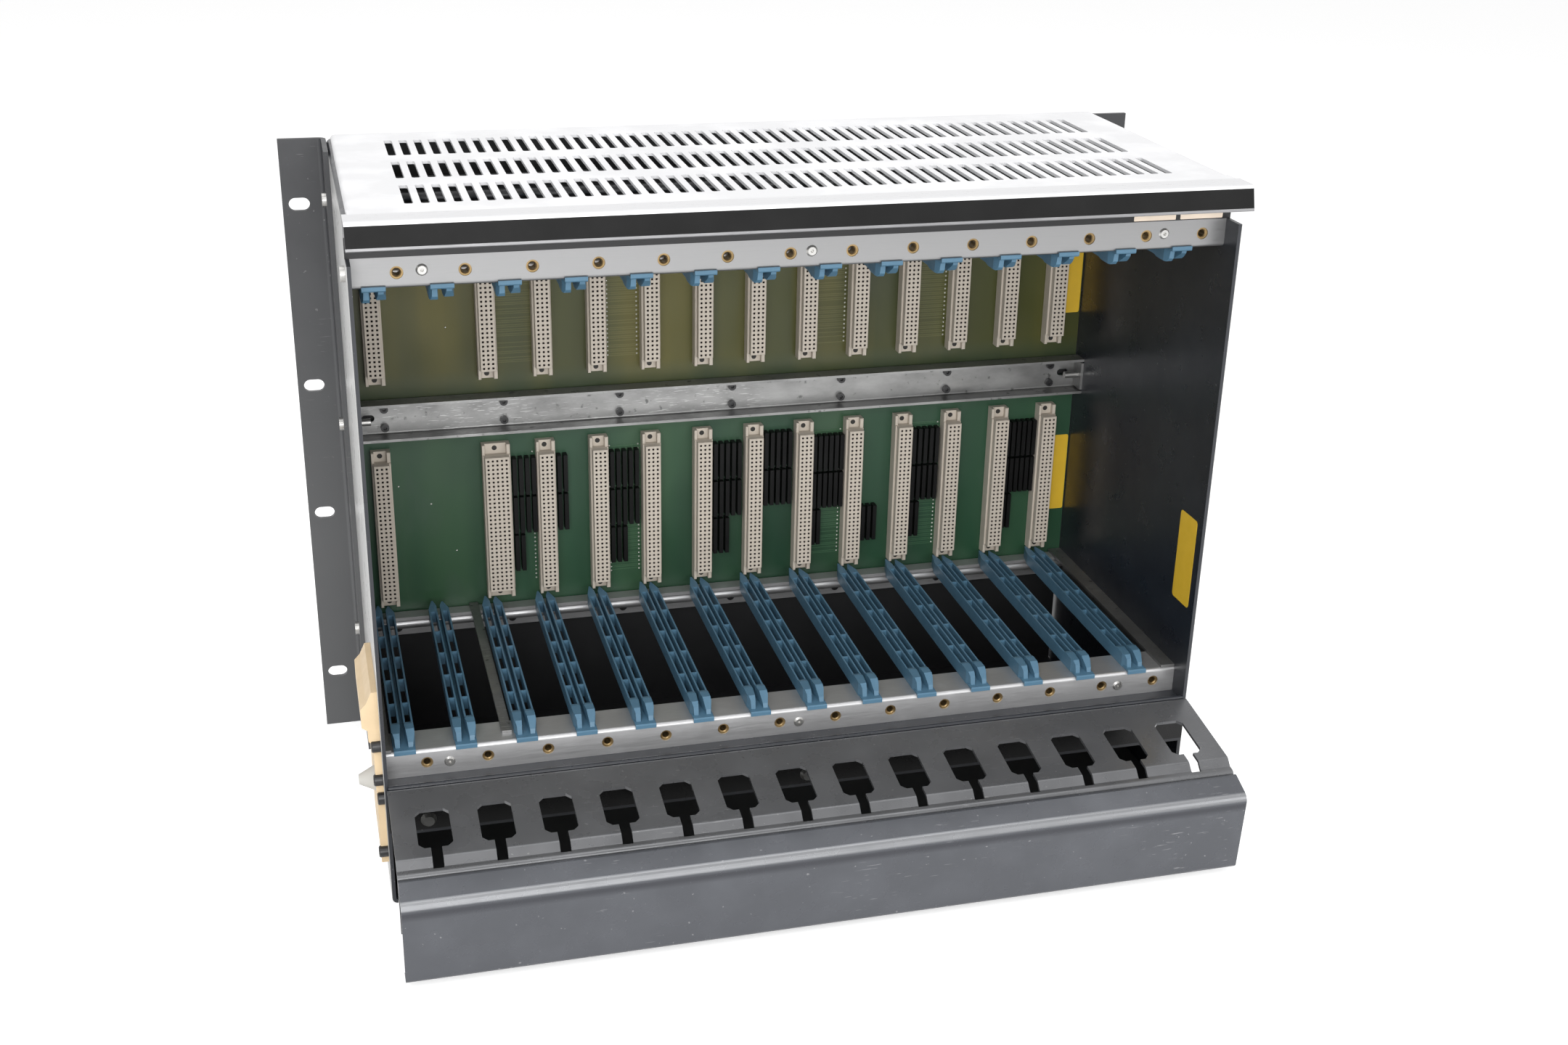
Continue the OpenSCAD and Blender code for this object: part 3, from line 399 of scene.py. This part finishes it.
class Builder:
    """Collects quads and prisms in row-frame metres, then makes one object of them."""

    def __init__(self):
        self.verts, self.faces, self.slots = [], [], []

    def face(self, points, slot=0):
        start = len(self.verts)
        self.verts += [tuple(p) for p in points]
        self.faces.append(tuple(range(start, start + len(points))))
        self.slots.append(slot)

    def band(self, one, two, slot=0):
        """A band of quads between two loops with the same number of points."""
        for k in range(len(one)):
            m = (k + 1) % len(one)
            self.face([one[k], one[m], two[m], two[k]], slot)

    def box(self, lo, hi):
        front, back = rectangle(lo, hi, lo[1]), rectangle(lo, hi, hi[1])
        self.face(front)
        self.band(back, front)
        self.face(back[::-1])

    def chamfer_box(self, lo, hi, c):
        """A box whose front edges are chamfered; the back lies on another piece."""
        inner = rectangle(lo, hi, lo[1], -c)
        outer = rectangle(lo, hi, lo[1] + c)
        back = rectangle(lo, hi, hi[1])
        self.face(inner)
        self.band(outer, inner)
        self.band(back, outer)
        self.face(back[::-1])

    def dome(self, centre, radius, height, sides=8):
        """A low dome on the front of a board, such as a solder joint."""
        x, y, z = centre
        rings = [(1.0, 0.0), (0.8, 0.6), (0.35, 0.95)]
        loops = [[(x + radius * r * math.cos(2 * math.pi * k / sides), y - height * h,
                   z + radius * r * math.sin(2 * math.pi * k / sides)) for k in range(sides)]
                 for r, h in rings]
        for one, two in zip(loops, loops[1:]):
            self.band(one, two)
        self.face(loops[-1])

    def make(self, name, mats, smooth=False):
        mesh = bpy.data.meshes.new(name)
        mesh.from_pydata(self.verts, [], self.faces)
        mesh.polygons.foreach_set("material_index", self.slots)
        for m in mats:
            mesh.materials.append(m)
        obj = bpy.data.objects.new(name, mesh)
        bpy.context.scene.collection.objects.link(obj)
        bm = bmesh.new()
        bm.from_mesh(mesh)
        bmesh.ops.remove_doubles(bm, verts=bm.verts, dist=1e-6)
        bmesh.ops.recalc_face_normals(bm, faces=bm.faces)
        bm.to_mesh(mesh)
        bm.free()
        for poly in mesh.polygons:
            poly.use_smooth = smooth
        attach(obj, BODY)
        return obj


# ---------------------------------------------------------------- connectors

CONTACTS = 32
HOLE = 0.66 * MM                 # half the side of a contact hole
HOLE_DEPTH = 3.0 * MM
FUNNEL = 0.12 * MM               # bevel at the mouth of a contact hole
BLOCK_END = 1.9 * MM             # plastic beyond the outermost contact, along a column
BLOCK_SIDE = 0.5 * MM            # plastic beside the outer columns of a contact block
FOOT_SIDE = 1.5 * MM             # the same for the foot of the connector
BLOCK_EDGE = 0.25 * MM           # chamfer around the front of a block
FOOT_EDGE = 0.3 * MM
EAR_WALL = 1.6 * MM
EAR_WALL_RIGHT = 1.3 * EAR_WALL
EAR_WALL_HEIGHT = 1.0 * MM
EAR_RECESS = 2.0 * MM
EAR_HOLE_R = 1.45 * MM
EAR_HOLE_AT = (0.46, 0.55)       # as parts of the width and of the length of an ear
HOLE_LIFT = 0.03 * MM            # keeps the dark disc of a hole, painted shade in place of the hole's depth, in front of its wall
CONNECTOR_LO, CONNECTOR_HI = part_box("connectors_upper")
CONNECTOR_Y = CONNECTOR_LO.y
EAR_HALF = (CONNECTOR_HI.z - CONNECTOR_LO.z) / 2
STEP_Y = CONNECTOR_Y + 4.2 * MM
EAR_Y = CONNECTOR_Y + 6.0 * MM


def contact_face(b, cx, cz, rows, y):
    """The pierced front of a contact block: cells between hole edges, and a pocket in each hole whose
    walls and floor take slot 1, painted shade.
    """
    half_width = rows * CONTACT_PITCH / 2 + BLOCK_SIDE - BLOCK_EDGE
    half_length = (CONTACTS - 1) / 2 * CONTACT_PITCH + BLOCK_END - BLOCK_EDGE
    xs = [cx - half_width]
    for k in range(rows):
        c = cx + (k - (rows - 1) / 2) * CONTACT_PITCH
        xs += [c - HOLE, c + HOLE]
    xs.append(cx + half_width)
    zs = [cz - half_length]
    for k in range(CONTACTS):
        c = cz + (k - (CONTACTS - 1) / 2) * CONTACT_PITCH
        zs += [c - HOLE, c + HOLE]
    zs.append(cz + half_length)
    for i in range(len(xs) - 1):
        for j in range(len(zs) - 1):
            lo, hi = (xs[i], y, zs[j]), (xs[i + 1], y, zs[j + 1])
            mouth = rectangle(lo, hi, y)
            if i % 2 == 0 or j % 2 == 0:
                b.face(mouth)
                continue
            throat = rectangle(lo, hi, y + FUNNEL, -FUNNEL)
            floor = rectangle(lo, hi, y + HOLE_DEPTH, -FUNNEL)
            b.band(mouth, throat)
            b.band(throat, floor, 1)
            b.face(floor, 1)
    return (xs[0], y, zs[0]), (xs[-1], y, zs[-1])


def connector(b, cx, cz, rows):
    """A pierced contact block on its foot, with an ear at each end."""
    lo, hi = contact_face(b, cx, cz, rows, CONNECTOR_Y)
    rim = rectangle(lo, hi, CONNECTOR_Y + BLOCK_EDGE, BLOCK_EDGE)
    root = rectangle(lo, hi, STEP_Y, BLOCK_EDGE)
    b.band(rim, rectangle(lo, hi, CONNECTOR_Y))
    b.band(root, rim)
    half_foot = rows * CONTACT_PITCH / 2 + FOOT_SIDE
    bottom, top = root[0][2], root[2][2]
    b.chamfer_box((cx - half_foot, STEP_Y, bottom), (cx + half_foot, BOARD_Y, top), FOOT_EDGE)
    for side in (-1, 1):
        ear(b, cx - half_foot, cx + half_foot, cz, side, top - cz)


def ear(b, x0, x1, cz, side, inner):
    """An ear with its screw hole, shown as a near-black disc of painted shade, a raised wall on each side
    and a dark recess.
    """
    floor_y = EAR_Y + EAR_RECESS
    lo, hi = sorted((cz + side * inner, cz + side * EAR_HALF))
    b.box((x0, floor_y, lo), (x1, BOARD_Y, hi))
    for left, right in ((x0, x0 + EAR_WALL), (x1 - EAR_WALL_RIGHT, x1)):
        b.chamfer_box((left, EAR_Y - EAR_WALL_HEIGHT, lo), (right, floor_y, hi), BLOCK_EDGE)
    across, along = EAR_HOLE_AT
    hole_x = x0 + (x1 - x0) * across
    hole_z = cz + side * (inner + (EAR_HALF - inner) * along)
    b.face([(hole_x + EAR_HOLE_R * math.cos(math.pi * k / 8), floor_y - HOLE_LIFT,
             hole_z + EAR_HOLE_R * math.sin(math.pi * k / 8)) for k in range(16)], 1)


def connectors():
    """All connector blocks, in place of the plain blocks of the CAD model."""
    beige = MATS["connector_beige"]
    # The pocket finish is near black: painted shade in the contact holes and in the ear holes.
    pocket = moulded("contact_pocket_shade", (0.018, 0.016, 0.014), 0.6).mat
    centres = {"upper": sum(c.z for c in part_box("connectors_upper")) / 2,
               "lower": sum(c.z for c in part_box("connectors_lower")) / 2}
    for row, skipped in (("upper", (EMPTY_SLOT,)), ("lower", (EMPTY_SLOT, WIDE_SLOT))):
        b = Builder()
        for i in range(SLOTS):
            if i not in skipped:
                connector(b, CONNECTOR_X[i], centres[row], 3)
        obj = b.make(f"connector_blocks_{row}", [beige, pocket])
        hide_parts(f"connectors_{row}")
    b = Builder()
    lo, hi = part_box("connector_wide")
    connector(b, (lo.x + hi.x) / 2, centres["lower"], 5)
    obj = b.make("connector_block_wide", [beige, pocket])
    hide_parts("connector_wide")


connectors()


# ---------------------------------------------------------------- board details

TRACE_GAPS = ((2, 3), (4, 5), (8, 9), (10, 11))        # connector pairs with traces between them
DOT_COLUMNS = {"upper": ((5, -1), (9, -1), (11, -1), (4, 1)),
               "lower": ((3, -1), (5, -1), (9, -1), (11, -1), (2, 1), (4, 1))}
HALF_BLOCK = 1.5 * CONTACT_PITCH + FOOT_SIDE
TRACE_W = 0.5 * MM
TRACE_T = 0.07 * MM
TRACE_LIFTS = (-0.75 * MM, 0.25 * MM)      # a pair of traces beside each contact
TRACE_MISSING = 0.12                       # part of the traces that is left out
DOT_R = 0.6 * MM
DOT_SIDE = 1.6 * MM                        # from the foot of a connector to its column of dots
DOT_HEIGHT = 0.45 * MM
LONE_DOT_HEIGHT = 0.4 * MM
LONE_DOTS = ((0, 9 * MM, 24 * MM), (1, -4 * MM, 12 * MM), (1, 9 * MM, -18 * MM))   # slot, x and z offset
TRACE_MATS = {
    "upper": laminate("trace_olive", (0.085, 0.088, 0.026), (0.14, 0.125, 0.034), (0.06, 0.068, 0.024),
                      (0.12, 0.12, 0.05)).mat,
    "lower": laminate("trace_green", (0.04, 0.1, 0.05), (0.055, 0.12, 0.06), (0.03, 0.075, 0.04),
                      (0.08, 0.12, 0.085)).mat}
TIN = brushed("solder_tin", (0.6, 0.6, 0.57), 0.3, along=(1, 1, 1)).mat


def board_details(row):
    """Traces between connectors, and the columns of solder joints beside them."""
    low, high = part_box(f"connectors_{row}")
    middle = (low.z + high.z) / 2
    heights = [middle + (k - (CONTACTS - 1) / 2) * CONTACT_PITCH for k in range(CONTACTS)]
    traces = Builder()
    for first, second in TRACE_GAPS:
        if row == "lower" and WIDE_SLOT in (first, second):
            continue
        start = CONNECTOR_X[first] + HALF_BLOCK
        end = CONNECTOR_X[second] - HALF_BLOCK
        for z in heights:
            for lift in TRACE_LIFTS:
                if random.random() < TRACE_MISSING:
                    continue
                traces.box((start, BOARD_Y - TRACE_T, z + lift), (end, BOARD_Y, z + lift + TRACE_W))
    traces.make(f"board_traces_{row}", [TRACE_MATS[row]])
    dots = Builder()
    for index, side in DOT_COLUMNS[row]:
        x = CONNECTOR_X[index] + side * (HALF_BLOCK + DOT_SIDE)
        for z in heights:
            dots.dome((x, BOARD_Y - TRACE_T, z), DOT_R, DOT_HEIGHT)
    for index, x, z in LONE_DOTS:
        dots.dome((CONNECTOR_X[index] + x, BOARD_Y, middle + z), DOT_R, LONE_DOT_HEIGHT)
    dots.make(f"solder_dots_{row}", [TIN], smooth=True)


for row_name in ("upper", "lower"):
    board_details(row_name)


# ---------------------------------------------------------------- labels and side details

LABEL_T = 0.15 * MM
LABELS = (      # name, lower left corner, width and height, corner radius, plastic; mm but for the depth
    ("label_upper_board", (203.4, BOARD_Y, 235), (10.2, 64), 1.2, "yellow"),
    ("label_lower_board", (204.6, BOARD_Y, 108), (9.2, 49), 1.2, "yellow"),
    ("label_web_left", (164, FACE_Y, 332), (22.5, 4.6), 0.4, "cream"),
    ("label_web_right", (189, FACE_Y, 332), (23, 4.6), 0.4, "cream"))
# Height, radius and length of each terminal screw, in mm.
TERMINAL_SCREWS = ((87, 3, 4.6), (68, 3, 4.6), (26.5, 3, 4.6), (57.5, 3.4, 3.4))
COVER_STRIP_DROP = 8 * MM        # the strip ends this far under the top of the upper rear rail
SEAM_LAP = 4 * MM


def label(name, origin, across, up, size, radius, mat):
    """A bare label with rounded corners; across and up span it, and their product points outward."""
    width, height = size
    across, up = Vector(across), Vector(up)
    out = across.cross(up) * LABEL_T
    corners = ((radius, radius, math.pi), (width - radius, radius, 1.5 * math.pi),
               (width - radius, height - radius, 0.0), (radius, height - radius, 0.5 * math.pi))
    rim = []
    for cx, cy, turn in corners:
        for k in range(5):
            angle = turn + k * math.pi / 8
            rim.append(Vector(origin) + across * (cx + radius * math.cos(angle))
                       + up * (cy + radius * math.sin(angle)))
    b = Builder()
    b.face([p + out for p in rim])
    b.face(rim[::-1])
    b.band(rim, [p + out for p in rim])
    b.make(name, [mat])


def labels():
    """Bare labels: yellow on the side plate and the boards, cream on the fascia web."""
    yellow = moulded("label_yellow", (0.72, 0.46, 0.035), 0.4, mottle=0.1).mat
    pale = moulded("label_cream", (0.78, 0.66, 0.54), 0.45, mottle=0.14).mat
    inner_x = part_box("front_rail_top")[1].x
    label("label_side", (inner_x, FACE_Y + 12 * MM, 118 * MM), (0, -1, 0), (0, 0, 1),
          (19 * MM, 51 * MM), 2 * MM, yellow)
    for name, origin, size, radius, mat in LABELS:
        x, y, z = origin
        label(name, (x * MM, y, z * MM), (1, 0, 0), (0, 0, 1),
              (size[0] * MM, size[1] * MM), radius * MM, {"yellow": yellow, "cream": pale}[mat])


def drum(b, centre, radius, length, sides=20):
    """A round screw head with a chamfered rim, its axis across the cage, pointing to the left."""
    x, y, z = centre
    chamfer, socket = 0.5 * MM, 1.2 * MM
    loops = []
    for r, dx in ((radius, 0.0), (radius, length - chamfer), (radius - chamfer, length),
                  (radius * 0.45, length), (radius * 0.4, length - socket)):
        turns = [2 * math.pi * k / sides for k in range(sides)]
        loops.append([(x - dx, y + r * math.cos(turn), z + r * math.sin(turn)) for turn in turns])
    b.face(loops[0][::-1])
    for one, two in zip(loops, loops[1:]):
        b.band(one, two)
    b.face(loops[-1])


def strip_details():
    """Terminal screws at the front edge of the cream strip."""
    low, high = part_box("terminal_strip")
    b = Builder()
    for z, radius, length in TERMINAL_SCREWS:
        drum(b, (high.x, low.y, z * MM), radius * MM, length * MM)
    b.make("terminal_screws", [MATS["black_steel"]])


def rear_shade_strips():
    """Plain black strips across the back that stand in for shade: one hangs from the cover, one backs the
    seam of the boards.
    """
    cover_low, cover_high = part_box("top_cover")
    rail_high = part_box("rear_rail_top")[1]
    b = Builder()
    b.box((cover_low.x + 2 * MM, cover_high.y - 2.2 * MM, rail_high.z - COVER_STRIP_DROP),
          (cover_high.x - 2 * MM, cover_high.y - 1.2 * MM, cover_high.z - 1.2 * MM))
    b.make("cover_rear_shade_strip", [MATS["black_sheet"]])
    b = Builder()
    b.box((LOWER_LO.x, LOWER_HI.y, LOWER_HI.z - SEAM_LAP),
          (LOWER_HI.x, LOWER_HI.y + 0.5 * MM, UPPER_LO.z + SEAM_LAP))
    b.make("board_seam_shade_strip", [MATS["black_sheet"]])


labels()
strip_details()
rear_shade_strips()


# ---------------------------------------------------------------- stage, camera and light

CAMERA_LENS = 42.57
CAMERA_TURN = (0.2702, -0.4026, 0.0227)              # yaw, pitch and roll in radians
CAMERA_PLACE = (-0.23977, FACE_Y - 0.8237, 0.55024)
FLOOR_HALF = 6.0
FLOOR_GLOW = 0.48
LAMPS = (      # name, place, target, size, power in watts
    ("key", (-0.9, -1.5, 1.7), (0, 0, 0.15), (1.2, 1.2), 21),
    ("top", (0.1, 0.1, 1.8), (0, 0, 0.3), (1.6, 1.2), 12.5),
    ("front", (-0.3, -2.0, 0.6), (0, 0, 0.15), (1.6, 0.8), 22),
    ("fill", (1.4, -1.4, 0.9), (0, 0, 0.15), (1.0, 1.0), 8))


def camera():
    """The viewpoint: left of the middle, above, a little rolled; distances are from the rail face."""
    cam = bpy.data.cameras.new("camera")
    cam.sensor_width = 36.0
    cam.lens = CAMERA_LENS
    cam.clip_start, cam.clip_end = 0.05, 20
    obj = bpy.data.objects.new("camera", cam)
    bpy.context.scene.collection.objects.link(obj)
    yaw, pitch, roll = CAMERA_TURN
    forward = Vector((math.sin(yaw) * math.cos(pitch), math.cos(yaw) * math.cos(pitch), math.sin(pitch)))
    level = Vector((math.cos(yaw), -math.sin(yaw), 0))
    up = level.cross(forward)
    right = level * math.cos(roll) + up * math.sin(roll)
    up = right.cross(forward)
    place = Vector(CAMERA_PLACE)
    turn = Matrix((right, up, -forward)).transposed().to_4x4()
    obj.matrix_world = Matrix.Translation(place) @ turn
    bpy.context.scene.camera = obj


def area_light(name, place, target, size, power):
    lamp = bpy.data.lights.new(name, "AREA")
    lamp.shape = "RECTANGLE"
    lamp.size, lamp.size_y = size
    lamp.energy = power
    obj = bpy.data.objects.new(name, lamp)
    obj.location = place
    obj.rotation_mode = "QUATERNION"
    obj.rotation_quaternion = (Vector(target) - Vector(place)).to_track_quat("-Z", "Y")
    bpy.context.scene.collection.objects.link(obj)


def seen_directly(tree):
    """1 for rays from the camera, from a mirror-like surface or through glass, so all see white."""
    path = tree.nodes.new("ShaderNodeLightPath")
    value = path.outputs["Is Camera Ray"]
    for kind in ("Is Glossy Ray", "Is Transmission Ray"):
        most = tree.nodes.new("ShaderNodeMath")
        most.operation = "MAXIMUM"
        tree.links.new(value, most.inputs[0])
        tree.links.new(path.outputs[kind], most.inputs[1])
        value = most.outputs[0]
    return value


def stage():
    """A white floor and surroundings, lifted to pure white where the camera sees them."""
    mesh = bpy.data.meshes.new("floor")
    s = FLOOR_HALF
    mesh.from_pydata([(-s, -s, 0), (s, -s, 0), (s, s, 0), (-s, s, 0)], [], [(0, 1, 2, 3)])
    floor = bpy.data.objects.new("floor", mesh)
    bpy.context.scene.collection.objects.link(floor)
    mat = bpy.data.materials.new("floor")
    mat.use_nodes = True
    tree = mat.node_tree
    out = tree.nodes["Material Output"]
    diffuse = tree.nodes["Principled BSDF"]
    diffuse.inputs["Base Color"].default_value = (0.86, 0.86, 0.86, 1)
    diffuse.inputs["Roughness"].default_value = 0.9
    glow = tree.nodes.new("ShaderNodeEmission")
    lift = tree.nodes.new("ShaderNodeMath")
    lift.operation = "MULTIPLY"
    lift.inputs[1].default_value = FLOOR_GLOW
    seen = seen_directly(tree)
    add = tree.nodes.new("ShaderNodeAddShader")
    tree.links.new(seen, lift.inputs[0])
    tree.links.new(lift.outputs[0], glow.inputs["Strength"])
    tree.links.new(diffuse.outputs[0], add.inputs[0])
    tree.links.new(glow.outputs[0], add.inputs[1])
    tree.links.new(add.outputs[0], out.inputs["Surface"])
    mesh.materials.append(mat)

    world = bpy.data.worlds.new("world")
    bpy.context.scene.world = world
    world.use_nodes = True
    tree = world.node_tree
    back = tree.nodes["Background"]
    back.inputs["Color"].default_value = (1, 1, 1, 1)
    mix = tree.nodes.new("ShaderNodeMapRange")
    mix.inputs["To Min"].default_value = 0.5
    mix.inputs["To Max"].default_value = 1.0
    tree.links.new(seen_directly(tree), mix.inputs["Value"])
    tree.links.new(mix.outputs["Result"], back.inputs["Strength"])


camera()
stage()
for lamp_settings in LAMPS:
    area_light(*lamp_settings)
bpy.context.scene.view_settings.view_transform = "Standard"
